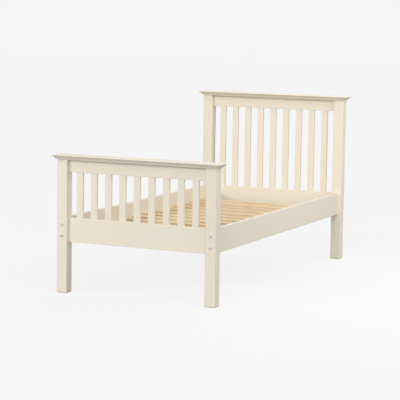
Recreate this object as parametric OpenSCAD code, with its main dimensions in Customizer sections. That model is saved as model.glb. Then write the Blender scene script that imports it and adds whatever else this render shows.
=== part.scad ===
// Painted pine bed frame for a 900 x 1900 mattress, with slatted panels at the head and the foot.
// Millimetres. The origin is on the floor at the centre of the footprint. +Y points to the head end,
// +X to the right as seen from the foot end, +Z up.

/* [Frame] */
// Width over the outer faces of the posts
frame_w = 1000; // [930:5:1500]
// Length over the outer faces of the posts
frame_l = 2030; // [1880:5:2200]
// Height of the undersides of all four rails above the floor
rail_z = 295; // [200:5:380]
// Rounding of the long edges of rails, slats and bearers
edge_r = 2; // [0.5:0.5:4]

/* [Posts] */
// Width of a post across the bed
post_w = 65; // [60:1:90]
// Depth of a post along the bed
post_d = 60; // [50:1:90]
// Height of the foot posts, without the cap
foot_post_h = 770; // [680:5:950]
// Height of the head posts, without the cap
head_post_h = 1042; // [700:2:1400]
// Rounding of the upright edges
post_edge_r = 3; // [1:0.5:6]
// Chamfer round the bottom of a post
foot_chamfer = 5; // [1:0.5:6]

/* [Caps] */
// Thickness of the moulded cap board
cap_t = 26; // [22:1:40]
// How far the nose of the cap stands out past the posts
cap_overhang = 26; // [16:1:40]
// How far the flat underside of the cap stands out past the posts
cap_soffit = 6; // [0:1:10]
// Height of the rounded nose
cap_nose_h = 6; // [4:1:10]
// Width of the step between the nose and the slope under it
cap_step = 1; // [0.5:0.5:3]
// Depth of the hollow in the slope
cap_cove_sag = 1.5; // [0.5:0.5:3]

/* [End panels] */
// Height of the rail under the cap
top_rail_h = 72; // [60:1:110]
// Height of the rail at bed level
low_rail_h = 140; // [90:1:180]
// Thickness of the rails of both panels
panel_rail_t = 20; // [18:1:30]
// Number of upright slats in each panel
slat_count = 9; // [5:1:10]
// Width of an upright slat
slat_w = 40; // [30:1:50]
// Thickness of an upright slat
slat_t = 16; // [14:1:18]
// Thickness of the tongue on a slat's ends
slat_tongue_t = 8; // [6:1:10]
// Length of the tongue on a slat's ends
slat_tongue_l = 15; // [8:1:20]
// Thickness of a rail's tenon
tenon_t = 10; // [8:1:14]
// Height of a tenon's shoulder at its top and bottom
tenon_shoulder = 12; // [8:1:16]

/* [Side rails] */
// Height of a side rail
side_rail_h = 140; // [110:1:180]
// Thickness of a side rail
side_rail_t = 25; // [22:1:30]

/* [Slatted base] */
// Width of the bearer strip along a side rail
bearer_w = 30; // [22:1:45]
// Height of the bearer strip
bearer_h = 30; // [25:1:45]
// Height of the bearer's underside above the side rail's underside
bearer_lift = 7; // [0:1:20]
// Distance from the end of a side rail to the end of its bearer
bearer_end = 75; // [65:1:120]
// Number of base slats
base_slat_count = 13; // [9:1:15]
// Width of a base slat
base_slat_w = 68; // [50:1:85]
// Thickness of a base slat
base_slat_t = 18; // [14:1:24]
// Gap between a base slat's end and the side rail
base_slat_end_gap = 2; // [1:0.5:5]

/* [Bolts and nuts] */
// Radius of a rail bolt's shank
bolt_r = 4; // [3:0.5:4.5]
// Distance between the two bolts of a corner
bolt_pitch = 64; // [50:1:80]
// Radius of a bolt head
bolt_head_r = 6.5; // [6:0.5:7]
// Height of a bolt head
bolt_head_h = 8; // [6:0.5:8]
// Radius over the corners of the hex socket in a bolt head
socket_r = 3.4; // [2.6:0.1:4]
// Depth of the hex socket
socket_depth = 4; // [2:0.5:5]
// Radius of the recess that a bolt head sits in
recess_r = 7.5; // [7.5:0.5:8]
// Depth of the recess in a post
recess_depth = 14; // [14:0.5:18]
// Radius of a barrel nut
nut_r = 6; // [5.5:0.5:7]
// Length of a barrel nut
nut_l = 18; // [14:1:19]
// Width of the slot in a barrel nut's end
nut_slot_w = 1.5; // [1:0.25:2.5]
// Depth of the slot in a barrel nut's end
nut_slot_depth = 1.5; // [1:0.25:2.5]
// Distance from the end of a side rail to the axis of its barrel nuts
nut_set = 40; // [30:1:50]
// How far a bolt runs on past its nut
bolt_tail = 8; // [4:1:12]
// Radius of a cover cap over a bolt head
cover_r = 9; // [8.5:0.5:11]
// Height of the straight side of a cover cap
cover_rim = 4; // [1:0.5:6]
// How far the dome of a cover cap rises above its side
cover_rise = 3; // [1.5:0.5:5]
// Length of the plug on the back of a cover cap
cover_plug_l = 5; // [3:0.5:5.5]

/* [Dowels and screws] */
// Radius of a dowel
dowel_r = 4; // [3:0.5:5]
// How far a side rail's dowel enters the rail, and the same again into the post
rail_dowel_reach = 28; // [15:1:35]
// How far a cap's dowel enters the cap
cap_dowel_up = 14; // [8:1:16]
// How far a cap's dowel enters the post or the rail below it
cap_dowel_down = 26; // [15:1:30]
// Distance between the dowels along a top rail
cap_dowel_pitch = 250; // [150:5:300]
// Radius of a wood screw
screw_r = 2; // [1.5:0.25:2.5]
// Radius of a wood screw's countersunk head
screw_head_r = 4; // [3.5:0.25:5]
// Depth of a wood screw's countersunk head
screw_head_h = 2.5; // [2:0.25:3]
// How far a base slat's screw enters the bearer
slat_screw_bite = 17; // [10:1:20]
// How far a bearer's screw enters the side rail
bearer_screw_bite = 15; // [8:1:17]

/* [Clearances] */
// Gap round a tenon or a tongue in its mortise
joint_gap = 0.2; // [0.1:0.05:0.3]
// Gap past the end of a tenon, a dowel, a bolt or a screw
end_gap = 1; // [0.5:0.25:1.5]
// Gap round a dowel, a nut, a screw or a plug in its hole
hole_gap = 0.1; // [0.05:0.05:0.2]
// Gap round a bolt's shank in the wood
bolt_gap = 0.5; // [0.2:0.1:0.5]
// Gap round a bolt's shank in its nut
thread_gap = 0.05; // [0.02:0.01:0.1]
// Wood left between a bolt and the tenon beside it
web_t = 3; // [2:0.5:5]

/* [Hidden] */

$fn = 64;
// Extra length of a cutting shape past the face that it opens
past = 1;
cream = [0.90, 0.86, 0.79];
pine = [0.86, 0.72, 0.50];
steel = [0.62, 0.62, 0.63];
beech = [0.80, 0.64, 0.44];
plastic = [0.92, 0.89, 0.82];
FOOT = -1;
HEAD = 1;
LEFT = -1;
RIGHT = 1;

half_w = frame_w / 2;
half_l = frame_l / 2;
// Bolts, dowels and side rails share the posts' middle line
post_x = half_w - post_w / 2;
panel_y = -half_l + post_d / 2;
post_back_y = -half_l + post_d;
panel_l = frame_w - 2 * post_w;
bolt_bore_r = bolt_r + bolt_gap;
dowel_bore_r = dowel_r + hole_gap;
tenon_l = post_w / 2 - max(bolt_bore_r, dowel_bore_r) - web_t - end_gap;
top_tenon_h = top_rail_h - 2 * tenon_shoulder;
low_tenon_h = low_rail_h - 2 * tenon_shoulder;
low_rail_top = rail_z + low_rail_h;

side_rail_l = frame_l - 2 * post_d;
side_mid_z = rail_z + side_rail_h / 2;
bolt_l = post_d - recess_depth + nut_set + nut_r + bolt_tail;

side_inner_x = post_x - side_rail_t / 2;
bearer_l = side_rail_l - 2 * bearer_end;
bearer_x = side_inner_x - bearer_w / 2;
bearer_z = rail_z + bearer_lift;
bearer_mid_z = bearer_z + bearer_h / 2;
base_slat_z = bearer_z + bearer_h;
base_slat_l = 2 * (side_inner_x - base_slat_end_gap);
base_pitch = (bearer_l - base_slat_w) / (base_slat_count - 1);

// Equal gaps between the posts and all the upright slats
slat_gap = (panel_l - slat_count * slat_w) / (slat_count + 1);
function slat_x(i) = -panel_l / 2 + i * slat_gap + (i - 0.5) * slat_w;
function base_slat_y(i) = -bearer_l / 2 + base_slat_w / 2 + (i - 1) * base_pitch;

// Shapes below are drawn at the foot end, on the left, and mirrored to the other places
module at_end(end) {
    if (end == FOOT)
        children();
    else
        mirror([0, 1, 0])
            children();
}

module at_side(side) {
    if (side == LEFT)
        children();
    else
        mirror([1, 0, 0])
            children();
}

module at_corners() {
    for (end = [FOOT, HEAD], side = [LEFT, RIGHT])
        at_end(end)
            at_side(side)
                children();
}

// The centres of a corner's two bolts
module at_bolts() {
    for (dz = [-bolt_pitch / 2, bolt_pitch / 2])
        translate([-post_x, 0, side_mid_z + dz])
            children();
}

module eased_rect(w, h, r) {
    square([w - 2 * r, h], center = true);
    square([w, h - 2 * r], center = true);
    for (x = [r - w / 2, w / 2 - r], y = [r - h / 2, h / 2 - r])
        translate([x, y])
            circle(r);
}

// Bars with rounded long edges, centred: across the bed, along it, and upright
module bar_x(l, d, h) {
    rotate([90, 0, 90])
        linear_extrude(l, center = true)
            eased_rect(d, h, edge_r);
}

module bar_y(w, l, h) {
    rotate([90, 0, 0])
        linear_extrude(l, center = true)
            eased_rect(w, h, edge_r);
}

module bar_z(w, d, l) {
    linear_extrude(l, center = true)
        eased_rect(w, d, edge_r);
}

// A round bore or pin that starts at the origin and runs along +Y
module rod_y(r, l) {
    rotate([-90, 0, 0])
        cylinder(r = r, h = l);
}

// A cross-section that is chamfered at the bottom
module chamfered_side(w, h) {
    polygon([
        [-w / 2, h], [-w / 2, foot_chamfer], [foot_chamfer - w / 2, 0],
        [w / 2 - foot_chamfer, 0], [w / 2, foot_chamfer], [w / 2, h]
    ]);
}

module post_blank(h) {
    translate([-post_x, panel_y, 0])
        intersection() {
            linear_extrude(h)
                eased_rect(post_w, post_d, post_edge_r);
            rotate([90, 0, 0])
                linear_extrude(post_d, center = true)
                    chamfered_side(post_w, h);
            rotate([90, 0, 90])
                linear_extrude(post_w, center = true)
                    chamfered_side(post_d, h);
        }
}

module post_mortise(z, tenon_h) {
    mortise_l = tenon_l + end_gap;
    mortise_d = tenon_t + 2 * joint_gap;
    mortise_h = tenon_h + 2 * joint_gap;
    translate([-half_w + post_w - mortise_l, panel_y - mortise_d / 2, z - mortise_h / 2])
        cube([mortise_l + past, mortise_d, mortise_h]);
}

module post(end, side, h) {
    color(cream)
        at_end(end)
            at_side(side)
                difference() {
                    post_blank(h);
                    post_mortise(h - top_rail_h / 2, top_tenon_h);
                    post_mortise(rail_z + low_rail_h / 2, low_tenon_h);
                    at_bolts()
                        translate([0, -half_l - past, 0]) {
                            rod_y(bolt_bore_r, post_d + 2 * past);
                            rod_y(recess_r, recess_depth + past);
                        }
                    translate([-post_x, post_back_y - rail_dowel_reach - end_gap, side_mid_z])
                        rod_y(dowel_bore_r, rail_dowel_reach + end_gap + past);
                    translate([-post_x, panel_y, h - cap_dowel_down - end_gap])
                        cylinder(r = dowel_bore_r, h = cap_dowel_down + end_gap + past);
                }
}

// A panel rail with its tenons, centred on its middle height
module rail_blank(h, tenon_h) {
    bar_x(panel_l, panel_rail_t, h);
    cube([panel_l + 2 * tenon_l, tenon_t, tenon_h], center = true);
}

// The mortises for the slats, centred on the rail's edge at z = 0
module slat_mortises() {
    for (i = [1 : slat_count])
        translate([slat_x(i), 0, 0])
            cube([
                slat_w - 2 * edge_r + 2 * joint_gap,
                slat_tongue_t + 2 * joint_gap,
                2 * (slat_tongue_l + end_gap)
            ], center = true);
}

module top_rail(end, post_h) {
    color(cream)
        at_end(end)
            translate([0, panel_y, post_h - top_rail_h / 2])
                difference() {
                    rail_blank(top_rail_h, top_tenon_h);
                    translate([0, 0, -top_rail_h / 2])
                        slat_mortises();
                    for (x = [-cap_dowel_pitch, 0, cap_dowel_pitch])
                        translate([x, 0, top_rail_h / 2 - cap_dowel_down - end_gap])
                            cylinder(r = dowel_bore_r, h = cap_dowel_down + end_gap + past);
                }
}

module bottom_rail(end) {
    color(cream)
        at_end(end)
            translate([0, panel_y, rail_z + low_rail_h / 2])
                difference() {
                    rail_blank(low_rail_h, low_tenon_h);
                    translate([0, 0, low_rail_h / 2])
                        slat_mortises();
                }
}

module panel_slat(end, i, post_h) {
    slat_l = post_h - top_rail_h - low_rail_top;
    color(cream)
        at_end(end)
            translate([slat_x(i), panel_y, low_rail_top + slat_l / 2]) {
                bar_z(slat_w, slat_t, slat_l);
                cube([slat_w - 2 * edge_r, slat_tongue_t, slat_l + 2 * slat_tongue_l], center = true);
            }
}

// Half of the cap's section across a board of width w, from the underside at z = 0:
// a rounded nose on top, a narrow step under it, and a hollow slope down to the flat underside
module cap_section(w) {
    nose_r = cap_nose_h / 2;
    rise = cap_t - cap_nose_h;
    run = cap_overhang - cap_soffit - nose_r - cap_step;
    slope_l = sqrt(run * run + rise * rise);
    cove_r = (slope_l * slope_l / 4 + cap_cove_sag * cap_cove_sag) / (2 * cap_cove_sag);
    nose_x = w / 2 - nose_r;
    translate([0, rise])
        square([nose_x, cap_nose_h]);
    translate([nose_x, cap_t - nose_r])
        circle(nose_r);
    difference() {
        square([nose_x, rise]);
        translate([nose_x - cap_step - run / 2, rise / 2])
            rotate(atan2(rise, run))
                translate([0, cap_cove_sag - cove_r])
                    circle(cove_r);
    }
}

module cap(end, post_h) {
    cap_w = frame_w + 2 * cap_overhang;
    cap_d = post_d + 2 * cap_overhang;
    color(cream)
        at_end(end)
            translate([0, panel_y, post_h])
                difference() {
                    intersection() {
                        rotate([90, 0, 0])
                            linear_extrude(cap_d, center = true) {
                                cap_section(cap_w);
                                mirror([1, 0])
                                    cap_section(cap_w);
                            }
                        rotate([90, 0, 90])
                            linear_extrude(cap_w, center = true) {
                                cap_section(cap_d);
                                mirror([1, 0])
                                    cap_section(cap_d);
                            }
                    }
                    for (x = [-post_x, -cap_dowel_pitch, 0, cap_dowel_pitch, post_x])
                        translate([x, 0, -past])
                            cylinder(r = dowel_bore_r, h = cap_dowel_up + end_gap + past);
                }
}

module side_rail(side) {
    color(cream)
        at_side(side)
            difference() {
                translate([-post_x, 0, side_mid_z])
                    bar_y(side_rail_t, side_rail_l, side_rail_h);
                for (end = [FOOT, HEAD])
                    at_end(end) {
                        at_bolts()
                            translate([0, post_back_y - past, 0])
                                rod_y(bolt_bore_r, nut_set + nut_r + bolt_tail + end_gap + past);
                        at_bolts()
                            translate([-nut_l / 2 - hole_gap, post_back_y + nut_set, 0])
                                rotate([0, 90, 0])
                                    cylinder(r = nut_r + hole_gap, h = side_rail_t / 2 + nut_l / 2 + past);
                        translate([-post_x, post_back_y - past, side_mid_z])
                            rod_y(dowel_bore_r, rail_dowel_reach + end_gap + past);
                    }
                at_bearer_screws()
                    screw(bearer_w + bearer_screw_bite + end_gap, hole_gap);
            }
}

// A countersunk screw that lies along -Z with the top of its head at the origin
module screw(l, gap) {
    translate([0, 0, -l])
        cylinder(r = screw_r + gap, h = l);
    translate([0, 0, -screw_head_h])
        cylinder(r1 = screw_r + gap, r2 = screw_head_r + gap, h = screw_head_h);
}

// The bearer's screws go in halfway between one base slat and the next
module at_bearer_screws() {
    for (i = [1 : 2 : base_slat_count - 1])
        translate([-side_inner_x + bearer_w, base_slat_y(i) + base_pitch / 2, bearer_mid_z])
            rotate([0, 90, 0])
                children();
}

module at_base_slat_screws(i) {
    for (side = [LEFT, RIGHT])
        translate([side * bearer_x, base_slat_y(i), base_slat_z + base_slat_t])
            children();
}

module bearer(side) {
    color(pine)
        difference() {
            at_side(side)
                difference() {
                    translate([-bearer_x, 0, bearer_mid_z])
                        bar_y(bearer_w, bearer_l, bearer_h);
                    at_bearer_screws()
                        screw(bearer_w + past, hole_gap);
                }
            for (i = [1 : base_slat_count])
                at_base_slat_screws(i)
                    screw(base_slat_t + slat_screw_bite + end_gap, hole_gap);
        }
}

module base_slat(i) {
    color(pine)
        difference() {
            translate([0, base_slat_y(i), base_slat_z + base_slat_t / 2])
                bar_x(base_slat_l, base_slat_w, base_slat_t);
            at_base_slat_screws(i)
                screw(base_slat_t + past, hole_gap);
        }
}

module rail_bolts() {
    color(steel)
        at_corners()
            at_bolts()
                translate([0, -half_l + recess_depth, 0])
                    difference() {
                        union() {
                            rod_y(bolt_r, bolt_l);
                            translate([0, -bolt_head_h, 0])
                                rod_y(bolt_head_r, bolt_head_h);
                        }
                        translate([0, -bolt_head_h - past, 0])
                            rotate([-90, 0, 0])
                                linear_extrude(socket_depth + past)
                                    circle(socket_r, $fn = 6);
                    }
}

// Cross dowels with a slot in the end that shows on the rail's inner face
module barrel_nuts() {
    color(steel)
        at_corners()
            at_bolts()
                translate([0, post_back_y + nut_set, 0])
                    rotate([0, 90, 0])
                        difference() {
                            cylinder(r = nut_r, h = nut_l, center = true);
                            rotate([90, 0, 0])
                                cylinder(r = bolt_r + thread_gap, h = 2 * nut_r + 2 * past, center = true);
                            translate([0, 0, nut_l / 2])
                                cube([nut_slot_w, 2 * nut_r + 2 * past, 2 * nut_slot_depth], center = true);
                        }
}

module bolt_cover_caps() {
    cover_h = cover_rim + cover_rise;
    dome_r = (cover_r * cover_r + cover_rise * cover_rise) / (2 * cover_rise);
    color(plastic)
        at_corners()
            at_bolts()
                translate([0, -half_l, 0]) {
                    rod_y(recess_r - hole_gap, cover_plug_l);
                    intersection() {
                        translate([0, dome_r - cover_h, 0])
                            sphere(dome_r, $fn = 96);
                        translate([0, -cover_h, 0])
                            rod_y(cover_r, cover_h);
                    }
                }
}

module rail_dowels() {
    color(beech)
        at_corners()
            translate([-post_x, post_back_y - rail_dowel_reach, side_mid_z])
                rod_y(dowel_r, 2 * rail_dowel_reach);
}

module cap_dowels() {
    color(beech)
        for (end = [FOOT, HEAD], x = [-post_x, -cap_dowel_pitch, 0, cap_dowel_pitch, post_x])
            at_end(end)
                translate([x, panel_y, (end == FOOT ? foot_post_h : head_post_h) - cap_dowel_down])
                    cylinder(r = dowel_r, h = cap_dowel_down + cap_dowel_up);
}

module bearer_screws() {
    color(steel)
        for (side = [LEFT, RIGHT])
            at_side(side)
                at_bearer_screws()
                    screw(bearer_w + bearer_screw_bite, 0);
}

module base_slat_screws() {
    color(steel)
        for (i = [1 : base_slat_count])
            at_base_slat_screws(i)
                screw(base_slat_t + slat_screw_bite, 0);
}

post(FOOT, LEFT, foot_post_h);  // foot_post_left
post(FOOT, RIGHT, foot_post_h);  // foot_post_right
top_rail(FOOT, foot_post_h);  // foot_top_rail
bottom_rail(FOOT);  // foot_bottom_rail
cap(FOOT, foot_post_h);  // foot_cap
for (i = [1 : slat_count])
    panel_slat(FOOT, i, foot_post_h);
post(HEAD, LEFT, head_post_h);  // head_post_left
post(HEAD, RIGHT, head_post_h);  // head_post_right
top_rail(HEAD, head_post_h);  // head_top_rail
bottom_rail(HEAD);  // head_bottom_rail
cap(HEAD, head_post_h);  // head_cap
for (i = [1 : slat_count])
    panel_slat(HEAD, i, head_post_h);
side_rail(LEFT);  // side_rail_left
side_rail(RIGHT);  // side_rail_right
bearer(LEFT);  // bearer_left
bearer(RIGHT);  // bearer_right
for (i = [1 : base_slat_count])
    base_slat(i);
rail_bolts();
barrel_nuts();
bolt_cover_caps();
rail_dowels();
cap_dowels();
bearer_screws();
base_slat_screws();
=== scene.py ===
from math import asin, cos, pi, radians, sin

import bmesh
import bpy
from mathutils import Euler, Matrix, Vector


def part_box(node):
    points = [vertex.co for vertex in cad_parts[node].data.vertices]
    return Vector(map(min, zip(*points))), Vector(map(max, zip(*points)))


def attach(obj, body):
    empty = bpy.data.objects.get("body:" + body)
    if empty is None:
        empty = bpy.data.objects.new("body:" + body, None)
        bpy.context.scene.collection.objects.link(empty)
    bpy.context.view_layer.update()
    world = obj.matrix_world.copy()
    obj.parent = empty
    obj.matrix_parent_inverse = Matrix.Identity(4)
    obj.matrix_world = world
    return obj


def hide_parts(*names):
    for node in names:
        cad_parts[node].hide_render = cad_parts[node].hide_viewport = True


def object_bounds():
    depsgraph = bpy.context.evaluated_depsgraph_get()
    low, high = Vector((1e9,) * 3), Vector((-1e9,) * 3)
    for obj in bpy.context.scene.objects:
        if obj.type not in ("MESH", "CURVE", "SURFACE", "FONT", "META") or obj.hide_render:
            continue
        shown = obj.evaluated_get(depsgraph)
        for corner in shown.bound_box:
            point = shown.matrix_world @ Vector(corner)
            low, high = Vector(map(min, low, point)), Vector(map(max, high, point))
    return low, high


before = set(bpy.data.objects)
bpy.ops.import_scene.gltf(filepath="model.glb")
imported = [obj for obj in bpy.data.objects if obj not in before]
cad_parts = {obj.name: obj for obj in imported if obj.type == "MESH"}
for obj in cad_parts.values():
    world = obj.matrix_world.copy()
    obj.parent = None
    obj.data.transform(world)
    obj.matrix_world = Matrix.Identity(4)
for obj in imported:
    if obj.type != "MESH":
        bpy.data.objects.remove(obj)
cadLow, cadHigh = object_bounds()
print("frame loaded,", len(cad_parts), "nodes")

slatNumbers = range(1, 10)
baseSlatNumbers = range(1, 14)
axisNumber = {"X": 0, "Y": 1, "Z": 2}
upAxis = axisNumber["Z"]
tiny = 1e-5             # metres, for telling faces and edges by their place
endSteps = 2            # bevel steps at the ends of boards
nearlyAlong = 0.99      # an edge's share along an axis, from which it counts as running along it
smoothAngle = 35        # degrees, an edge that turns further stays crisp


# Selecting and editing

def selectOnly(piece):
    bpy.ops.object.select_all(action="DESELECT")
    piece.select_set(True)
    bpy.context.view_layer.objects.active = piece


def startEdit(piece, selectMode):
    selectOnly(piece)
    bpy.ops.object.mode_set(mode="EDIT")
    bpy.ops.mesh.select_mode(type=selectMode)
    bpy.ops.mesh.select_all(action="DESELECT")


def endEdit():
    bpy.ops.object.mode_set(mode="OBJECT")


def pick(piece, parts, wanted):
    # parts is "edges" or "faces"; wanted says which of them are selected
    mesh = bmesh.from_edit_mesh(piece.data)
    for part in getattr(mesh, parts):
        part.select_set(wanted(part))
    bmesh.update_edit_mesh(piece.data)


def runsAlong(edge, axis):
    a, b = (vertex.co for vertex in edge.verts)
    return abs((b - a).normalized()[axis]) > nearlyAlong


def liesAt(part, axis, place):
    return all(abs(vertex.co[axis] - place) < tiny for vertex in part.verts)


def applyPlace(piece):
    selectOnly(piece)
    bpy.ops.object.transform_apply(location=True, rotation=True, scale=True)


def joinPieces(pieces, name):
    bpy.ops.object.select_all(action="DESELECT")
    for piece in pieces:
        piece.select_set(True)
    bpy.context.view_layer.objects.active = pieces[0]
    if len(pieces) > 1:
        bpy.ops.object.join()
    joined = bpy.context.object
    joined.name = name
    joined.data.name = name
    return joined


def copyPiece(first, name, shift):
    # A copy with a mesh of its own, moved by shift
    selectOnly(first)
    bpy.ops.object.duplicate(linked=False)
    copy = bpy.context.object
    copy.name = name
    copy.data.name = name
    copy.location = shift
    applyPlace(copy)
    return copy


def placeCopy(first, matrix):
    # A copy put and turned by the matrix
    selectOnly(first)
    bpy.ops.object.duplicate(linked=False)
    copy = bpy.context.object
    copy.matrix_world = matrix
    applyPlace(copy)
    return copy


# Starting shapes

def addBox(name, low, high):
    bpy.ops.object.select_all(action="DESELECT")
    bpy.ops.mesh.primitive_cube_add(size=1, location=(Vector(low) + Vector(high)) / 2)
    box = bpy.context.object
    box.name = name
    box.data.name = name
    box.scale = Vector(high) - Vector(low)
    applyPlace(box)
    return box


def addRod(start, end, radius, sides=40):
    # A cylinder from one point to another
    start, end = Vector(start), Vector(end)
    bpy.ops.object.select_all(action="DESELECT")
    bpy.ops.mesh.primitive_cylinder_add(
        radius=radius, depth=(end - start).length, vertices=sides, location=(start + end) / 2,
        rotation=(end - start).to_track_quat("Z", "Y").to_euler())
    rod = bpy.context.object
    applyPlace(rod)
    return rod


def bevelEdges(piece, wanted, width, steps):
    startEdit(piece, "EDGE")
    pick(piece, "edges", wanted)
    bpy.ops.mesh.bevel(offset=width, segments=steps, profile=0.5, affect="EDGES")
    endEdit()


def addBar(name, low, high, grain, edge):
    # A board with rounded long edges and eased ends
    bar = addBox(name, low, high)
    axis = axisNumber[grain]
    bevelEdges(bar, lambda e: runsAlong(e, axis), edge["radius"], edge["steps"])
    for end in (low[axis], high[axis]):
        bevelEdges(bar, lambda e: liesAt(e, axis, end), edge["endEase"], endSteps)
    return bar


def addTongue(bar, grain, end, length, size):
    # The end face is drawn in to size and pulled out by length; size isn't used along the grain
    axis = axisNumber[grain]
    startEdit(bar, "FACE")
    pick(bar, "faces", lambda f: liesAt(f, axis, end))
    points = [v.co.copy() for v in bmesh.from_edit_mesh(bar.data).verts if v.select]
    faceLow = Vector(min(p[i] for p in points) for i in range(3))
    faceHigh = Vector(max(p[i] for p in points) for i in range(3))
    scale = [1 if i == axis else size[i] / (faceHigh[i] - faceLow[i]) for i in range(3)]
    pull = Vector((0, 0, 0))
    pull[axis] = length
    bpy.ops.mesh.extrude_region_move(TRANSFORM_OT_translate={"value": (0, 0, 0)})
    bpy.ops.transform.resize(value=scale, center_override=(faceLow + faceHigh) / 2)
    bpy.ops.mesh.extrude_region_move(TRANSFORM_OT_translate={"value": pull})
    endEdit()


def cutOut(piece, cutters):
    # Cutters in one call don't touch each other
    cutter = joinPieces(cutters, "cutter")
    selectOnly(piece)
    cut = piece.modifiers.new("cut", "BOOLEAN")
    cut.operation = "DIFFERENCE"
    cut.solver = "EXACT"
    cut.object = cutter
    bpy.ops.object.modifier_apply(modifier=cut.name)
    bpy.data.objects.remove(cutter)


def finishPiece(piece, material, slotName, *nodes):
    # nodes are the frame's own pieces that this one stands for
    selectOnly(piece)
    bpy.ops.object.shade_smooth_by_angle(angle=radians(smoothAngle))
    even = piece.modifiers.new("even", "WEIGHTED_NORMAL")
    even.keep_sharp = True
    bpy.ops.object.modifier_apply(modifier=even.name)
    piece.data.materials.clear()
    piece.data.materials.append(material)
    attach(piece, "root")
    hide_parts(*nodes)


# Finishes

def newMaterial(name):
    material = bpy.data.materials.new(name)
    material.use_nodes = True
    material.node_tree.nodes.clear()
    return material


def addNode(material, kind, inputs=None, **settings):
    # material may be the world too; an input is a value or another node's output
    node = material.node_tree.nodes.new("ShaderNode" + kind)
    for name, value in settings.items():
        setattr(node, name, value)
    for name, value in (inputs or {}).items():
        if isinstance(value, bpy.types.NodeSocket):
            material.node_tree.links.new(value, node.inputs[name])
        else:
            node.inputs[name].default_value = value
    return node


def calc(material, operation, *values):
    inputs = dict(enumerate(values))
    return addNode(material, "Math", inputs, operation=operation).outputs[0]


def objectPlace(material):
    return addNode(material, "TexCoord").outputs["Object"]


def noise(material, place, scale, detail=3.0, roughness=0.55):
    # scale is one number, or counts per metre along X, Y and Z
    if isinstance(scale, (int, float)):
        scale = (scale, scale, scale)
    stretched = addNode(material, "Mapping", {"Vector": place, "Scale": scale}).outputs[0]
    inputs = {"Vector": stretched, "Scale": 1.0, "Detail": detail, "Roughness": roughness}
    return addNode(material, "TexNoise", inputs).outputs["Fac"]


def ramp(material, factor, stops):
    node = addNode(material, "ValToRGB", {"Fac": factor})
    node.color_ramp.elements[0].position = stops[0][0]
    node.color_ramp.elements[0].color = (*stops[0][1], 1)
    node.color_ramp.elements[1].position = stops[-1][0]
    node.color_ramp.elements[1].color = (*stops[-1][1], 1)
    for position, colour in stops[1:-1]:
        node.color_ramp.elements.new(position).color = (*colour, 1)
    return node.outputs["Color"]


def twoTone(material, factor, band, dark, light):
    return ramp(material, factor, [(band[0], dark), (band[1], light)])


bandLow, bandHigh = 0.25, 0.75       # nearly all of a noise's values lie between these


def spread(material, factor, low, high):
    # A noise's middle band, stretched from low to high
    inputs = {"Value": factor, "From Min": bandLow, "From Max": bandHigh, "To Min": low, "To Max": high}
    return addNode(material, "MapRange", inputs).outputs["Result"]


def scaleColour(material, colour, factor):
    return addNode(material, "VectorMath", {0: colour, "Scale": factor}, operation="SCALE").outputs[0]


def bump(material, height, distance, strength=0.5, normal=None):
    inputs = {"Height": height, "Distance": distance, "Strength": strength}
    if normal:
        inputs["Normal"] = normal
    return addNode(material, "Bump", inputs).outputs["Normal"]


def closeMaterial(material, inputs):
    shader = addNode(material, "BsdfPrincipled", inputs)
    addNode(material, "OutputMaterial", {"Surface": shader.outputs[0]})
    return material


def linear(red, green, blue):
    # From the 0 to 255 of a colour picker to the renderer's own scale
    return [((c / 255 + 0.055) / 1.055) ** 2.4 if c > 10 else c / 255 / 12.92 for c in (red, green, blue)]


paint = {
    "colour": (230, 221, 203),
    "roughness": (0.50, 0.62),
    "specular": 0.32,
    "grainAlong": 5.0,       # how often the wood's grain shows through, per metre
    "grainAcross": 420.0,
    "grainTint": (0.985, 1.012),
    "cloudCount": 3.0,       # pale and dark patches per metre
    "cloudTint": (0.982, 1.012),
    "grainDepth": 0.00012,
    "peelCount": 950.0,      # the fine ripple of a sprayed coat, per metre
    "peelDepth": 0.00004,
    "peelStrength": 0.6,
}


def paintedPine(grain):
    material = newMaterial("paintedPine" + grain)
    place = objectPlace(material)
    stretch = [paint["grainAcross"]] * 3
    stretch[axisNumber[grain]] = paint["grainAlong"]
    fibres = noise(material, place, tuple(stretch), detail=5.0, roughness=0.6)
    clouds = noise(material, place, paint["cloudCount"], detail=2.0)
    peel = noise(material, place, paint["peelCount"], detail=1.5)
    tint = calc(material, "MULTIPLY",
                spread(material, fibres, *paint["grainTint"]),
                spread(material, clouds, *paint["cloudTint"]))
    colour = addNode(material, "RGB")
    colour.outputs[0].default_value = (*linear(*paint["colour"]), 1)
    grainBump = bump(material, fibres, paint["grainDepth"])
    return closeMaterial(material, {
        "Base Color": scaleColour(material, colour.outputs[0], tint),
        "Roughness": spread(material, clouds, *paint["roughness"]),
        "Specular IOR Level": paint["specular"],
        "Normal": bump(material, peel, paint["peelDepth"], paint["peelStrength"], grainBump),
    })


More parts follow.
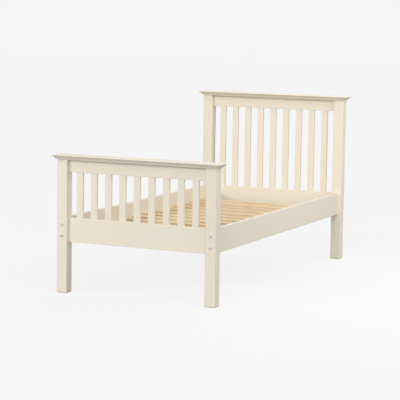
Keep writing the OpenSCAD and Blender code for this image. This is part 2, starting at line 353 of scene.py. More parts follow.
pine = {
    "earlyWood": (231, 207, 168),
    "lateWood": (207, 170, 124),
    "knotWood": (140, 92, 54),
    "ringWidth": 0.0042,
    "ringStops": (0.5, 0.86, 0.94),    # of one ring: it begins to darken, is darkest, begins to pale
    "wander": 0.011,                   # how far the rings sway along a board
    "wanderCount": (1.6, 7.0, 7.0),    # per metre along, across and up
    "heartDrop": (0.02, 0.07),         # how far below its face a board's heart lies
    "heartShift": 0.09,
    "logLength": 40.0,                 # the boards are taken from anywhere along this length
    "knotSpacing": 0.26,
    "knotRadius": 0.008,
    "knotScatter": 0.9,
    "knotRowGap": 3.7,                 # in spacings, so that two boards don't share a knot
    "knotWobble": 0.004,
    "knotWobbleCount": 45.0,
    "knotEdge": (0.8, 1.25),           # in knot radii: where its colour begins to fade, and is gone
    "knotStrength": 0.8,
    "swellReach": 2.2,                 # in knot radii: how far, and how much, rings bend round a knot
    "swellHeight": 1.4,
    "fibreCount": (14.0, 1100.0, 1100.0),
    "fibreTint": (0.93, 1.05),
    "fibreDepth": 0.0001,
    "ringDepth": 0.00012,
    "ringStrength": 0.4,
    "roughness": (0.52, 0.68),
    "specular": 0.35,
}
naturalBase = 2.718


def barePine(name, grain, across, boardPitch, firstEdge):
    # Boards lie side by side, a pitch apart, and each is cut from its own place in the log
    material = newMaterial(name)
    place = objectPlace(material)
    parts = addNode(material, "SeparateXYZ", {"Vector": place})
    along, side, up = parts.outputs[grain], parts.outputs[across], parts.outputs["Z"]
    steps = calc(material, "DIVIDE", calc(material, "SUBTRACT", side, firstEdge), boardPitch)
    board = calc(material, "FLOOR", steps)
    chance = addNode(material, "TexWhiteNoise", {"W": board}, noise_dimensions="1D")
    luck = addNode(material, "SeparateColor", {"Color": chance.outputs["Color"]})
    boardSide = calc(material, "MULTIPLY", calc(material, "FRACT", steps), boardPitch)

    # The board's own coordinates: along the grain, across it, and up
    shift = calc(material, "MULTIPLY", luck.outputs[2], pine["logLength"])
    logPlace = calc(material, "ADD", along, shift)
    own = addNode(material, "CombineXYZ", {"X": logPlace, "Y": boardSide, "Z": up}).outputs[0]

    knotPlace = addNode(material, "CombineXYZ", {
        "X": calc(material, "DIVIDE", logPlace, pine["knotSpacing"]),
        "Y": calc(material, "DIVIDE", boardSide, pine["knotSpacing"]),
        "Z": calc(material, "MULTIPLY", board, pine["knotRowGap"])}).outputs[0]
    cells = addNode(material, "TexVoronoi", {
        "Vector": knotPlace, "Scale": 1.0, "Randomness": pine["knotScatter"]})
    wobble = noise(material, own, pine["knotWobbleCount"], detail=2.0)
    knotFar = calc(material, "MULTIPLY", cells.outputs["Distance"], pine["knotSpacing"])
    knotFar = calc(material, "ADD", knotFar, calc(material, "MULTIPLY", wobble, pine["knotWobble"]))
    reach = calc(material, "DIVIDE", knotFar, pine["swellReach"] * pine["knotRadius"])
    halfSquare = calc(material, "MULTIPLY", -0.5, calc(material, "POWER", reach, 2.0))
    swell = calc(material, "POWER", naturalBase, halfSquare)      # a bell curve round the knot

    sway = noise(material, own, pine["wanderCount"], detail=2.0)
    heartSide = calc(material, "MULTIPLY", luck.outputs[0], pine["heartShift"])
    dropLow, dropHigh = pine["heartDrop"]
    heartUp = calc(material, "MULTIPLY_ADD", luck.outputs[1], dropHigh - dropLow, dropLow)
    sideFar = calc(material, "SUBTRACT", boardSide, heartSide)
    upFar = calc(material, "ADD", calc(material, "FRACT", up), heartUp)
    sideSquare, upSquare = (calc(material, "POWER", far, 2.0) for far in (sideFar, upFar))
    radius = calc(material, "SQRT", calc(material, "ADD", sideSquare, upSquare))
    radius = calc(material, "MULTIPLY_ADD", sway, pine["wander"], radius)
    radius = calc(material, "MULTIPLY_ADD", swell, pine["swellHeight"] * pine["knotRadius"], radius)
    ring = calc(material, "FRACT", calc(material, "DIVIDE", radius, pine["ringWidth"]))

    early, late, knot = (linear(*pine[k]) for k in ("earlyWood", "lateWood", "knotWood"))
    earlyEnd, lateStart, lateEnd = pine["ringStops"]
    wood = ramp(material, ring, [
        (0.0, early), (earlyEnd, early), (lateStart, late), (lateEnd, late), (1.0, early)])
    fibres = noise(material, own, pine["fibreCount"], detail=3.0)
    wood = scaleColour(material, wood, spread(material, fibres, *pine["fibreTint"]))
    knotFull, knotGone = (share * pine["knotRadius"] for share in pine["knotEdge"])
    inKnot = addNode(material, "MapRange", {
        "Value": knotFar, "From Min": knotGone, "From Max": knotFull,
        "To Min": 0.0, "To Max": pine["knotStrength"]}).outputs["Result"]
    mixed = addNode(material, "Mix", {0: inKnot, 6: wood, 7: (*knot, 1)}, data_type="RGBA")
    ringBump = bump(material, ring, pine["ringDepth"], pine["ringStrength"])
    return closeMaterial(material, {
        "Base Color": mixed.outputs[2],
        "Roughness": spread(material, fibres, *pine["roughness"]),
        "Specular IOR Level": pine["specular"],
        "Normal": bump(material, fibres, pine["fibreDepth"], normal=ringBump),
    })


steel = {
    "colour": (196, 197, 198),
    "dullShare": 0.82,           # how bright the dull blotches are beside the rest
    "blotchCount": 160.0,
    "blotchBand": (0.35, 0.65),
    "roughness": (0.26, 0.44),
    "scratchCount": (2600.0, 300.0, 2600.0),
    "scratchDepth": 0.00003,
    "scratchStrength": 0.4,
}


def zincSteel():
    material = newMaterial("zincSteel")
    place = objectPlace(material)
    scratches = noise(material, place, steel["scratchCount"], detail=4.0)
    blotches = noise(material, place, steel["blotchCount"], detail=3.0)
    metal = linear(*steel["colour"])
    dull = [steel["dullShare"] * c for c in metal]
    return closeMaterial(material, {
        "Base Color": twoTone(material, blotches, steel["blotchBand"], dull, metal),
        "Metallic": 1.0,
        "Roughness": spread(material, scratches, *steel["roughness"]),
        "Normal": bump(material, scratches, steel["scratchDepth"], steel["scratchStrength"]),
    })


beech = {
    "colour": (214, 176, 132),
    "dark": (188, 146, 104),
    "fibreCount": (700.0, 500.0, 90.0),
    "fibreBand": (0.3, 0.7),
    "fibreDepth": 0.0001,
    "fibreStrength": 0.4,
    "roughness": (0.55, 0.70),
}


def beechWood():
    material = newMaterial("beechWood")
    place = objectPlace(material)
    fibres = noise(material, place, beech["fibreCount"], detail=4.0)
    dark, light = linear(*beech["dark"]), linear(*beech["colour"])
    return closeMaterial(material, {
        "Base Color": twoTone(material, fibres, beech["fibreBand"], dark, light),
        "Roughness": spread(material, fibres, *beech["roughness"]),
        "Normal": bump(material, fibres, beech["fibreDepth"], beech["fibreStrength"]),
    })


plastic = {
    # colour: the covers' own cream, darkened all over as painted shade that stands in for the shadow
    # crescent at each dome's lower side
    "colour": (209, 197, 178),
    "darkShare": 0.97,           # how bright its faint clouds are beside the rest
    "cloudCount": 90.0,
    "cloudBand": (0.3, 0.7),
    "skinCount": 2200.0,
    "skinDepth": 0.00002,
    "roughness": (0.24, 0.32),
}


def creamPlasticPaintedShade():
    # Cream plastic whose base colour is darkened as painted shade for the covers' shadow crescents; its
    # faint clouds are its own tone
    material = newMaterial("creamPlasticPaintedShade")
    place = objectPlace(material)
    skin = noise(material, place, plastic["skinCount"], detail=1.0)
    clouds = noise(material, place, plastic["cloudCount"], detail=2.0)
    shade = linear(*plastic["colour"])
    dark = [plastic["darkShare"] * c for c in shade]
    return closeMaterial(material, {
        "Base Color": twoTone(material, clouds, plastic["cloudBand"], dark, shade),
        "Roughness": spread(material, clouds, *plastic["roughness"]),
        "Normal": bump(material, skin, plastic["skinDepth"]),
    })


paintAcross, paintAlong, paintUpright = (paintedPine(grain) for grain in "XYZ")
firstSlat, secondSlat = (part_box("base_slat_%d" % n)[0].y for n in (1, 2))
slatPine = barePine("slatPine", "X", "Y", secondSlat - firstSlat, firstSlat)
bearerPine = barePine("bearerPine", "Y", "X", cadHigh.x, cadLow.x)
zinc = zincSteel()
beechDowel = beechWood()
coverPlasticPaintedShade = creamPlasticPaintedShade()
print("finishes made")


# Places and sizes that several pieces share

corners = [(end, side) for end in ("foot", "head") for side in ("left", "right")]
posts = {end + side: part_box("%s_post_%s" % (end, side)) for end, side in corners}
panelLow, panelHigh = posts["footleft"][1].x, posts["footright"][0].x   # the posts' inner faces
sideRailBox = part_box("side_rail_left")
boltHeight = (sideRailBox[0].z + sideRailBox[1].z) / 2
outward = {"foot": -1, "head": 1}

fixing = {
    "boltPitch": 0.064,
    "boltBore": 0.0045,       # bores and recesses are given by their radius
    "recessRadius": 0.0075,
    "recessDepth": 0.014,
    "dowelBore": 0.0041,
    "railDowelDepth": 0.029,
    "capDowelDepth": 0.027,
    "capDowelInCap": 0.015,
    "capDowelPitch": 0.25,
    "nutSet": 0.040,
    "nutBore": 0.0061,
    "nutDepth": 0.0216,
    "boltDepth": 0.055,
    "past": 0.002,            # how far a cutter stands out of the face it opens
}


def boltPlaces(x):
    return [(x, boltHeight + d) for d in (-fixing["boltPitch"] / 2, fixing["boltPitch"] / 2)]


# Posts

post = {
    "edge": {"radius": 0.003, "steps": 4},
    "footChamfer": 0.005,
    "mortiseDepth": 0.025,
    "mortiseWidth": 0.0104,
    "shoulder": 0.0118,
}


def makePost(end, side):
    low, high = posts[end + side]
    out = outward[end]
    piece = addBox("%sPost%s" % (end, side.capitalize()), low, high)
    bevelEdges(piece, lambda e: runsAlong(e, upAxis), post["edge"]["radius"], post["edge"]["steps"])
    bevelEdges(piece, lambda e: liesAt(e, upAxis, low.z), post["footChamfer"], steps=1)

    middle = (low + high) / 2
    inner = high.x if side == "left" else low.x
    inward = 1 if side == "left" else -1
    outerY = low.y if end == "foot" else high.y
    innerY = high.y if end == "foot" else low.y
    past = fixing["past"]
    mortises = []
    for node in ("%s_top_rail" % end, "%s_bottom_rail" % end):
        railLow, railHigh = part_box(node)
        xs = sorted((inner - inward * post["mortiseDepth"], inner + inward * past))
        half = post["mortiseWidth"] / 2
        mortises.append(addBox("cutter",
                               (xs[0], middle.y - half, railLow.z + post["shoulder"]),
                               (xs[1], middle.y + half, railHigh.z - post["shoulder"])))
    bores = [addRod((x, outerY + out * past, z), (x, innerY - out * past, z), fixing["boltBore"])
             for x, z in boltPlaces(middle.x)]
    bores.append(addRod((middle.x, innerY - out * past, boltHeight),
                        (middle.x, innerY + out * fixing["railDowelDepth"], boltHeight),
                        fixing["dowelBore"]))
    bores.append(addRod((middle.x, middle.y, high.z - fixing["capDowelDepth"]),
                        (middle.x, middle.y, high.z + past), fixing["dowelBore"]))
    cutOut(piece, mortises + bores)
    cutOut(piece, [addRod((x, outerY + out * past, z), (x, outerY - out * fixing["recessDepth"], z),
                          fixing["recessRadius"]) for x, z in boltPlaces(middle.x)])
    finishPiece(piece, paintUpright, "cream_paint", "%s_post_%s" % (end, side))


for end, side in corners:
    makePost(end, side)
print("posts made")


# Rails across the panels, with a tenon at each end and mortises for the slats

rail = {
    "edge": {"radius": 0.002, "steps": 3, "endEase": 0.0004},
    "tenonThickness": 0.010,
    "tenonShoulder": 0.012,
    "slatMortise": (0.0364, 0.0084, 0.016),     # wide, thick and deep
}


def slatCentres():
    boxes = [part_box("foot_slat_%d" % n) for n in slatNumbers]
    return [(low.x + high.x) / 2 for low, high in boxes]


def makePanelRails(level):
    # The foot's rail, and the head's as a copy of it
    low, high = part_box("foot_%s_rail" % level)
    tenonLength = panelLow - low.x
    piece = addBar("foot%sRail" % level.capitalize(),
                   Vector((panelLow, low.y, low.z)), Vector((panelHigh, high.y, high.z)), "X", rail["edge"])
    tenon = (1, rail["tenonThickness"], high.z - low.z - 2 * rail["tenonShoulder"])
    addTongue(piece, "X", panelLow, -tenonLength, tenon)
    addTongue(piece, "X", panelHigh, tenonLength, tenon)

    middleY = (low.y + high.y) / 2
    width, thickness, depth = rail["slatMortise"]
    edgeZ, inward = (low.z, 1) if level == "top" else (high.z, -1)
    zs = sorted((edgeZ - inward * fixing["past"], edgeZ + inward * depth))
    cutters = [addBox("cutter", (x - width / 2, middleY - thickness / 2, zs[0]),
                      (x + width / 2, middleY + thickness / 2, zs[1])) for x in slatCentres()]
    if level == "top":
        for x in (-fixing["capDowelPitch"], 0, fixing["capDowelPitch"]):
            cutters.append(addRod((x, middleY, high.z - fixing["capDowelDepth"]),
                                  (x, middleY, high.z + fixing["past"]), fixing["dowelBore"]))
    cutOut(piece, cutters)
    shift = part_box("head_%s_rail" % level)[0] - low
    headPiece = copyPiece(piece, "head%sRail" % level.capitalize(), shift)
    finishPiece(piece, paintAcross, "cream_paint", "foot_%s_rail" % level)
    finishPiece(headPiece, paintAcross, "cream_paint", "head_%s_rail" % level)


for level in ("top", "bottom"):
    makePanelRails(level)
print("panel rails made")


# Upright slats

slat = {
    "edge": {"radius": 0.002, "steps": 3, "endEase": 0.0004},
    "tongue": (0.036, 0.008, 1),
}


def makePanelSlats(end):
    # The first slat is modelled, the others are copies of it
    low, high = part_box("%s_slat_1" % end)
    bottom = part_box("%s_bottom_rail" % end)[1].z
    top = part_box("%s_top_rail" % end)[0].z
    first = addBar("%sSlat1" % end, Vector((low.x, low.y, bottom)), Vector((high.x, high.y, top)),
                   "Z", slat["edge"])
    addTongue(first, "Z", bottom, low.z - bottom, slat["tongue"])
    addTongue(first, "Z", top, high.z - top, slat["tongue"])
    pieces = {1: first}
    for number in slatNumbers[1:]:
        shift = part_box("%s_slat_%d" % (end, number))[0] - low
        pieces[number] = copyPiece(first, "%sSlat%d" % (end, number), shift)
    for number, piece in pieces.items():
        finishPiece(piece, paintUpright, "cream_paint", "%s_slat_%d" % (end, number))


for end in ("foot", "head"):
    makePanelSlats(end)
print("panel slats made")


# Moulded caps

cap = {
    "soffit": 0.006,        # the flat underside stands this far out of the posts
    "noseHeight": 0.006,
    "step": 0.001,
    "coveSag": 0.0015,
    "coveSteps": 6,
    "noseSteps": 8,
    "cornerRadius": 0.0012,
    "cornerSteps": 3,
}


def capProfile(overhang, height):
    # How far out of the posts, and how far up from the underside, from the soffit to the top
    noseRadius = cap["noseHeight"] / 2
    start = Vector((cap["soffit"], 0))
    finish = Vector((overhang - noseRadius - cap["step"], height - cap["noseHeight"]))
    chord = finish - start
    ahead = chord.normalized()
    aside = Vector((ahead.y, -ahead.x))
    radius = ((chord.length / 2) ** 2 + cap["coveSag"] ** 2) / (2 * cap["coveSag"])
    centre = (start + finish) / 2 + aside * (radius - cap["coveSag"])
    halfTurn = asin(chord.length / 2 / radius)
    cove = []
    for step in range(cap["coveSteps"] + 1):
        turn = halfTurn * (2 * step / cap["coveSteps"] - 1)
        cove.append(centre + radius * (ahead * sin(turn) - aside * cos(turn)))
    noseCentre = Vector((overhang - noseRadius, height - noseRadius))
    nose = []
    for step in range(cap["noseSteps"] + 1):
        turn = pi * (step / cap["noseSteps"] - 0.5)
        nose.append(noseCentre + noseRadius * Vector((cos(turn), sin(turn))))
    return cove + nose


def makeCaps():
    # The foot's cap, and the head's as a copy of it
    low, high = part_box("foot_cap")
    leftLow, rightHigh = posts["footleft"][0], posts["footright"][1]
    profile = capProfile(leftLow.x - low.x, high.z - low.z)
    centre = Vector(((low.x + high.x) / 2, (low.y + high.y) / 2, 0))

    def halfSize(out):
        return Vector((rightHigh.x - centre.x + out, rightHigh.y - centre.y + out))

    first = halfSize(profile[0].x)
    second = profile[1]
    piece = addBox("footCap", (centre.x - first.x, centre.y - first.y, low.z),
                   (centre.x + first.x, centre.y + first.y, low.z + second.y))
    startEdit(piece, "FACE")
    pick(piece, "faces", lambda f: liesAt(f, upAxis, low.z + second.y))
    size, lift = first, second.y
    for number, point in enumerate(profile[1:]):
        wanted = halfSize(point.x)
        if number > 0:
            bpy.ops.mesh.extrude_region_move(TRANSFORM_OT_translate={"value": (0, 0, point.y - lift)})
        bpy.ops.transform.resize(value=(wanted.x / size.x, wanted.y / size.y, 1),
                                 center_override=(centre.x, centre.y, low.z + point.y))
        size, lift = wanted, point.y
    endEdit()

    def isCorner(edge):
        # A mitre line runs out and up at the same x and y offset
        a, b = (v.co - centre for v in edge.verts)
        return (abs(abs(b.x - a.x) - abs(b.y - a.y)) < tiny and abs(b.z - a.z) + abs(b.x - a.x) > tiny
                and abs(a.x) > first.x - tiny and abs(a.y) > first.y - tiny)

    bevelEdges(piece, isCorner, cap["cornerRadius"], cap["cornerSteps"])
    middleY = centre.y
    postX = (posts["footright"][0].x + posts["footright"][1].x) / 2
    places = (-postX, -fixing["capDowelPitch"], 0, fixing["capDowelPitch"], postX)
    cutOut(piece, [addRod((x, middleY, low.z - fixing["past"]),
                          (x, middleY, low.z + fixing["capDowelInCap"]),
                          fixing["dowelBore"]) for x in places])
    headPiece = copyPiece(piece, "headCap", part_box("head_cap")[0] - low)
    finishPiece(piece, paintAcross, "cream_paint", "foot_cap")
    finishPiece(headPiece, paintAcross, "cream_paint", "head_cap")


makeCaps()
print("caps made")


# Side rails with the bearer strips screwed to their inner faces

sideRail = {"edge": {"radius": 0.002, "steps": 3, "endEase": 0.0004}}
bearer = {"edge": {"radius": 0.002, "steps": 3, "endEase": 0.0006}}
screw = {
    "shankRadius": 0.002,
    "headRadius": 0.004,
    "headHeight": 0.0025,
    "sunk": 0.0002,                # below the face of the wood
    "slatBite": 0.017,             # how far a screw goes into the bearer, and into the side rail
    "railBite": 0.015,
    "gap": 0.0001,
    "crossLength": 0.0044,
    "crossWidth": 0.0009,
    "crossDepth": 0.0016,
    "crossTaper": (0.45, 0.7),     # how long and how wide an arm is at the bottom, beside the top
    "tipLength": 2.5,              # in shank radii
    "tipShrink": 0.15,
    "headEase": 0.0002,
    "headEaseSteps": 2,
    "headSides": 32,
    "boreSides": 24,
    "slatTurn": 0.7,               # radians from one slat's screws to the next one's
    "bearerTurn": 1.3,             # radians per metre along a bearer
}
innerX = abs(sideRailBox[1].x)


def slatMiddle(number):
    low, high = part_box("base_slat_%d" % number)
    return (low.y + high.y) / 2


def bearerScrewPlaces(sign):
    # Halfway between one base slat and the next, on the bearer's inner face
    low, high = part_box("bearer_right")
    ys = [(slatMiddle(n) + slatMiddle(n + 1)) / 2 for n in baseSlatNumbers[:-1:2]]
    return [Vector((sign * low.x, y, (low.z + high.z) / 2)) for y in ys]


def slatScrewPlaces(number):
    low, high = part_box("bearer_right")
    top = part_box("base_slat_%d" % number)[1].z
    return [Vector((sign * (low.x + high.x) / 2, slatMiddle(number), top)) for sign in (-1, 1)]


def screwHole(top, direction, length):
    # The clearance hole and its countersink, which don't overlap
    direction = Vector(direction)
    gap = screw["gap"]
    neck = top + direction * screw["headHeight"]
    bpy.ops.object.select_all(action="DESELECT")
    bpy.ops.mesh.primitive_cone_add(
        radius1=screw["shankRadius"] + gap, radius2=screw["headRadius"] + gap, depth=screw["headHeight"],
        vertices=screw["headSides"], location=(top + neck) / 2,
        rotation=(-direction).to_track_quat("Z", "Y").to_euler())
    sink = bpy.context.object
    applyPlace(sink)
    startEdit(sink, "FACE")
    axis = max(range(3), key=lambda i: abs(direction[i]))
    pick(sink, "faces", lambda f: liesAt(f, axis, neck[axis]))
    bpy.ops.mesh.extrude_region_move(
        TRANSFORM_OT_translate={"value": direction * (length - screw["headHeight"])})
    bpy.ops.mesh.select_all(action="DESELECT")
    pick(sink, "faces", lambda f: liesAt(f, axis, top[axis]))
    bpy.ops.mesh.extrude_region_move(TRANSFORM_OT_translate={"value": -direction * fixing["past"]})
    endEdit()
    return sink


def makeSideRail(side, sign):
    node = "side_rail_" + side
    low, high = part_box(node)
    piece = addBar("sideRail" + side.capitalize(), low, high, "Y", sideRail["edge"])
    middleX = (low.x + high.x) / 2
    past = fixing["past"]
    bores, nutHoles = [], []
    for endY, inward in ((low.y, 1), (high.y, -1)):
        for x, z in boltPlaces(middleX):
            bores.append(addRod((x, endY - inward * past, z), (x, endY + inward * fixing["boltDepth"], z),
                                fixing["boltBore"]))
            nutY = endY + inward * fixing["nutSet"]
            nutHoles.append(addRod((sign * (innerX - past), nutY, z),
                                   (sign * (innerX + fixing["nutDepth"]), nutY, z), fixing["nutBore"]))
        bores.append(addRod((middleX, endY - inward * past, boltHeight),
                            (middleX, endY + inward * fixing["railDowelDepth"], boltHeight),
                            fixing["dowelBore"]))
    for place in bearerScrewPlaces(sign):
        start = Vector((sign * (innerX - past), place.y, place.z))
        bores.append(addRod(start, start + Vector((sign * (screw["railBite"] + past + screw["gap"]), 0, 0)),
                            screw["shankRadius"] + screw["gap"], screw["boreSides"]))
    cutOut(piece, bores)
    cutOut(piece, nutHoles)
    finishPiece(piece, paintAlong, "cream_paint", node)


def makeBearer(side, sign):
    node = "bearer_" + side
    low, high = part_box(node)
    piece = addBar("bearer" + side.capitalize(), low, high, "Y", bearer["edge"])
    cutOut(piece, [screwHole(place, (sign, 0, 0), high.x - low.x + fixing["past"])
                   for place in bearerScrewPlaces(sign)])
    pilots = []
    for number in baseSlatNumbers:
        for place in slatScrewPlaces(number):
            if place.x * sign > 0:
                top = Vector((place.x, place.y, high.z + fixing["past"]))
                end = Vector((place.x, place.y, high.z - screw["slatBite"] - screw["gap"]))
                pilots.append(addRod(end, top, screw["shankRadius"] + screw["gap"], screw["boreSides"]))
    cutOut(piece, pilots)
    finishPiece(piece, bearerPine, "bare_pine", node)


for side, sign in (("left", -1), ("right", 1)):
    makeSideRail(side, sign)
    makeBearer(side, sign)
print("side rails and bearers made")


# Base slats

baseSlat = {"edge": {"radius": 0.002, "steps": 3, "endEase": 0.0008}}


def makeBaseSlats():
    # The first slat is modelled, the others are copies of it
    low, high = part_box("base_slat_1")
    first = addBar("baseSlat1", low, high, "X", baseSlat["edge"])
    cutOut(first, [screwHole(place, (0, 0, -1), high.z - low.z + fixing["past"])
                   for place in slatScrewPlaces(1)])
    pieces = {1: first}
    for number in baseSlatNumbers[1:]:
        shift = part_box("base_slat_%d" % number)[0] - low
        pieces[number] = copyPiece(first, "baseSlat%d" % number, shift)
    for number, piece in pieces.items():
        finishPiece(piece, slatPine, "bare_pine", "base_slat_%d" % number)


makeBaseSlats()
print("base slats made")


# Screws with a cross recess

def makeScrew(name, length):
    # Stands on the origin's Z axis with its head's top at the origin
    bpy.ops.object.select_all(action="DESELECT")
    bpy.ops.mesh.primitive_cone_add(radius1=screw["shankRadius"], radius2=screw["headRadius"],
                                    depth=screw["headHeight"], vertices=screw["headSides"],
                                    location=(0, 0, -screw["headHeight"] / 2))
    piece = bpy.context.object
    piece.name = name
    applyPlace(piece)
    startEdit(piece, "FACE")
    pick(piece, "faces", lambda f: liesAt(f, upAxis, -screw["headHeight"]))
    tip = screw["tipLength"] * screw["shankRadius"]
    shank = length - screw["headHeight"] - tip
    bpy.ops.mesh.extrude_region_move(TRANSFORM_OT_translate={"value": (0, 0, -shank)})
    bpy.ops.mesh.extrude_region_move(TRANSFORM_OT_translate={"value": (0, 0, -tip)})
    shrink = screw["tipShrink"]
    bpy.ops.transform.resize(value=(shrink, shrink, 1), center_override=(0, 0, -length))
    endEdit()
    bevelEdges(piece, lambda e: liesAt(e, upAxis, 0), screw["headEase"], screw["headEaseSteps"])
    long, wide, deep = screw["crossLength"] / 2, screw["crossWidth"] / 2, screw["crossDepth"]
    taperLong, taperWide = screw["crossTaper"]
    for x, y, taper in ((long, wide, (taperLong, taperWide, 1)), (wide, long, (taperWide, taperLong, 1))):
        arm = addBox("cutter", (-x, -y, -deep), (x, y, fixing["past"]))
        startEdit(arm, "FACE")
        pick(arm, "faces", lambda f: liesAt(f, upAxis, -deep))
        bpy.ops.transform.resize(value=taper, center_override=(0, 0, -deep))
        endEdit()
        cutOut(piece, [arm])
    return piece


def placeScrews(name, node, length, places):
    # places holds the top of each head, the way it points and how far its cross is turned
    first = makeScrew(name, length)
    copies = []
    for top, direction, turn in places:
        direction = Vector(direction)
        aim = (-direction).to_track_quat("Z", "Y").to_matrix() @ Matrix.Rotation(turn, 3, "Z")
        copies.append(placeCopy(first, Matrix.Translation(top + direction * screw["sunk"]) @ aim.to_4x4()))
    bpy.data.objects.remove(first)
    finishPiece(joinPieces(copies, name), zinc, "zinc_steel", node)


def screwBaseSlats():
    low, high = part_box("base_slat_1")
    places = [(place, (0, 0, -1), screw["slatTurn"] * number + place.x)
              for number in baseSlatNumbers for place in slatScrewPlaces(number)]
    length = high.z - low.z + screw["slatBite"] - screw["sunk"]
    placeScrews("baseSlatScrews", "base_slat_screws", length, places)


def screwBearers():
    low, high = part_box("bearer_right")
    places = [(place, (sign, 0, 0), screw["bearerTurn"] * place.y)
              for sign in (-1, 1) for place in bearerScrewPlaces(sign)]
    length = high.x - low.x + screw["railBite"] - screw["sunk"]
    placeScrews("bearerScrews", "bearer_screws", length, places)


screwBaseSlats()
screwBearers()
print("screws made")


# Domed covers over the bolts

cover = {
    "radius": 0.009,
    "rim": 0.004,           # the straight side, up to where the dome begins
    "rise": 0.003,
    "edgeRadius": 0.0008,
    "edgeSteps": 3,
    "plugRadius": 0.0074,
    "plugLength": 0.005,
    "plugEase": 0.0006,
    "plugEaseSteps": 2,
    "sides": 40,
    "rings": 200,           # of the whole sphere that the dome is the top of
}


def makeCover(name):
    # Stands on the origin's Z axis, with the plug below z = 0
    domeRadius = (cover["radius"] ** 2 + cover["rise"] ** 2) / (2 * cover["rise"])
    bpy.ops.object.select_all(action="DESELECT")
    bpy.ops.mesh.primitive_uv_sphere_add(
        segments=cover["sides"], ring_count=cover["rings"], radius=domeRadius,
        location=(0, 0, cover["rim"] + cover["rise"] - domeRadius))
    piece = bpy.context.object
    piece.name = name
    applyPlace(piece)
    startEdit(piece, "FACE")
    bpy.ops.mesh.select_all(action="SELECT")
    bpy.ops.mesh.bisect(plane_co=(0, 0, cover["rim"]), plane_no=(0, 0, 1), use_fill=True, clear_inner=True)
    bpy.ops.mesh.select_all(action="DESELECT")
    pick(piece, "faces", lambda f: liesAt(f, upAxis, cover["rim"]))
    bpy.ops.mesh.extrude_region_move(TRANSFORM_OT_translate={"value": (0, 0, -cover["rim"])})
    bpy.ops.mesh.inset(thickness=cover["radius"] - cover["plugRadius"])
    bpy.ops.mesh.extrude_region_move(TRANSFORM_OT_translate={"value": (0, 0, -cover["plugLength"])})
    endEdit()
    bevelEdges(piece, lambda e: liesAt(e, upAxis, -cover["plugLength"]),
               cover["plugEase"], cover["plugEaseSteps"])
    bevelEdges(piece, lambda e: liesAt(e, upAxis, cover["rim"]), cover["edgeRadius"], cover["edgeSteps"])
    return piece


def placeCovers():
    first = makeCover("coverPattern")
    copies = []
    for end, side in corners:
        low, high = posts[end + side]
        faceY = low.y if end == "foot" else high.y
        facing = Vector((0, outward[end], 0)).to_track_quat("Z", "Y").to_matrix()
        for x, z in boltPlaces((low.x + high.x) / 2):
            copies.append(placeCopy(first, Matrix.Translation((x, faceY, z)) @ facing.to_4x4()))
    bpy.data.objects.remove(first)
    finishPiece(joinPieces(copies, "boltCovers"), coverPlasticPaintedShade, "cream_plastic", "bolt_cover_caps")


placeCovers()
print("bolt covers made")


# The bolts, nuts and dowels keep the frame's own shapes

for node, material in (("rail_bolts", zinc), ("barrel_nuts", zinc),
                       ("rail_dowels", beechDowel), ("cap_dowels", beechDowel)):
    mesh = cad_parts[node].data
    mesh.materials.clear()
    mesh.materials.append(material)
print("hardware finished")


# Studio

studio = {
    "floorSize": 60.0,
    "backColour": (246, 246, 246),
    "floorGlow": 0.86,         # how much of the floor's look is its own even glow
    "glowStrength": 1.0,
    "floorGlowColour": (248, 248, 248),
    "floorSeen": 0.95,         # the floor's colour to the camera, and to the light it throws back
    "floorBounce": 0.30,
    "skyColour": (1, 1, 1, 1),
    "skyStrength": 0.25,
    "sunFar": 6,               # a sun's light is the same from any distance
}
# Turn is in degrees round from the foot end, minus to the left; spread is how wide the light looks
suns = {
    "keySun": {"turn": -35, "height": 18, "spread": 8, "strength": 0.78},
    "frontSun": {"turn": 15, "height": 10, "spread": 50, "strength": 1.15},
    "rightSun": {"turn": 45, "height": 45, "spread": 50, "strength": 1.13},
    "backSun": {"turn": 180, "height": 30, "spread": 60, "strength": 1.0},
}
softboxes = {
    "leftBox": {"place": (-2.2, -3.4, 1.3), "aim": (-0.4, -1.0, 0.5), "size": 0.6, "watts": 15},
    "rightBox": {"place": (2.6, 0.3, 1.8), "aim": (0.45, 0, 0.5), "size": 1.5, "watts": 29},
}


def makeFloor():
    bpy.ops.object.select_all(action="DESELECT")
    bpy.ops.mesh.primitive_plane_add(size=studio["floorSize"])
    floor = bpy.context.object
    floor.name = "studioFloor"
    material = newMaterial("studioFloor")
    path = addNode(material, "LightPath")
    mirrored = calc(material, "MAXIMUM", path.outputs["Is Glossy Ray"], path.outputs["Is Transmission Ray"])
    seen = calc(material, "MAXIMUM", path.outputs["Is Camera Ray"], mirrored)
    bounce = studio["floorBounce"]
    grey = calc(material, "MULTIPLY_ADD", seen, studio["floorSeen"] - bounce, bounce)
    flat = addNode(material, "BsdfDiffuse", {"Color": grey})
    glow = addNode(material, "Emission", {
        "Color": (*linear(*studio["floorGlowColour"]), 1), "Strength": studio["glowStrength"]})
    mixed = addNode(material, "MixShader", {
        0: calc(material, "MULTIPLY", seen, studio["floorGlow"]), 1: flat.outputs[0], 2: glow.outputs[0]})
    addNode(material, "OutputMaterial", {"Surface": mixed.outputs[0]})
    floor.data.materials.append(material)


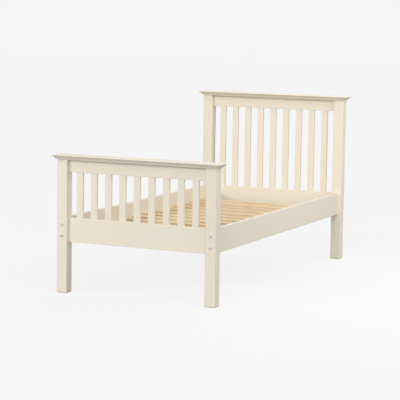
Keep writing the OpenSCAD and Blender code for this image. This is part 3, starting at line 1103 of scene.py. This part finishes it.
def makeSky():
    world = bpy.data.worlds.new("studioSky")
    bpy.context.scene.world = world
    world.use_nodes = True
    world.node_tree.nodes.clear()
    path = addNode(world, "LightPath")
    seen = calc(world, "MAXIMUM", path.outputs["Is Camera Ray"], path.outputs["Is Glossy Ray"])
    sky = addNode(world, "Background", {"Color": studio["skyColour"], "Strength": studio["skyStrength"]})
    back = addNode(world, "Background", {"Color": (*linear(*studio["backColour"]), 1)})
    mixed = addNode(world, "MixShader", {0: seen, 1: sky.outputs[0], 2: back.outputs[0]})
    addNode(world, "OutputWorld", {"Surface": mixed.outputs[0]})


def addLight(name, kind, place, toLight):
    bpy.ops.object.select_all(action="DESELECT")
    bpy.ops.object.light_add(type=kind, location=place, rotation=toLight.to_track_quat("Z", "Y").to_euler())
    light = bpy.context.object
    light.name = name
    return light.data


def makeLights():
    for name, sun in suns.items():
        turn, height = radians(sun["turn"]), radians(sun["height"])
        toLight = Vector((sin(turn) * cos(height), -cos(turn) * cos(height), sin(height)))
        light = addLight(name, "SUN", toLight * studio["sunFar"], toLight)
        light.energy = sun["strength"]
        light.angle = radians(sun["spread"])
    for name, box in softboxes.items():
        light = addLight(name, "AREA", box["place"], Vector(box["place"]) - Vector(box["aim"]))
        light.size = box["size"]
        light.energy = box["watts"]


camera = {
    "place": (4.203, -9.179, 1.708),
    "turn": 24.97,      # degrees to the left of looking straight at the foot end
    "down": 7.05,
    "lean": 0.87,
    "lens": 148.95,     # mm, as the sensor
    "sensor": 36,
}


def makeCamera():
    bpy.ops.object.select_all(action="DESELECT")
    bpy.ops.object.camera_add(location=camera["place"])
    eye = bpy.context.object
    aim = Euler((radians(90 - camera["down"]), 0, radians(camera["turn"]))).to_matrix()
    aim = aim @ Matrix.Rotation(radians(camera["lean"]), 3, "Z")
    eye.rotation_euler = aim.to_euler()
    eye.data.lens = camera["lens"]
    eye.data.sensor_width = camera["sensor"]
    bpy.context.scene.camera = eye


makeFloor()
makeSky()
makeLights()
makeCamera()
bpy.context.scene.view_settings.view_transform = "Standard"
print("studio made")
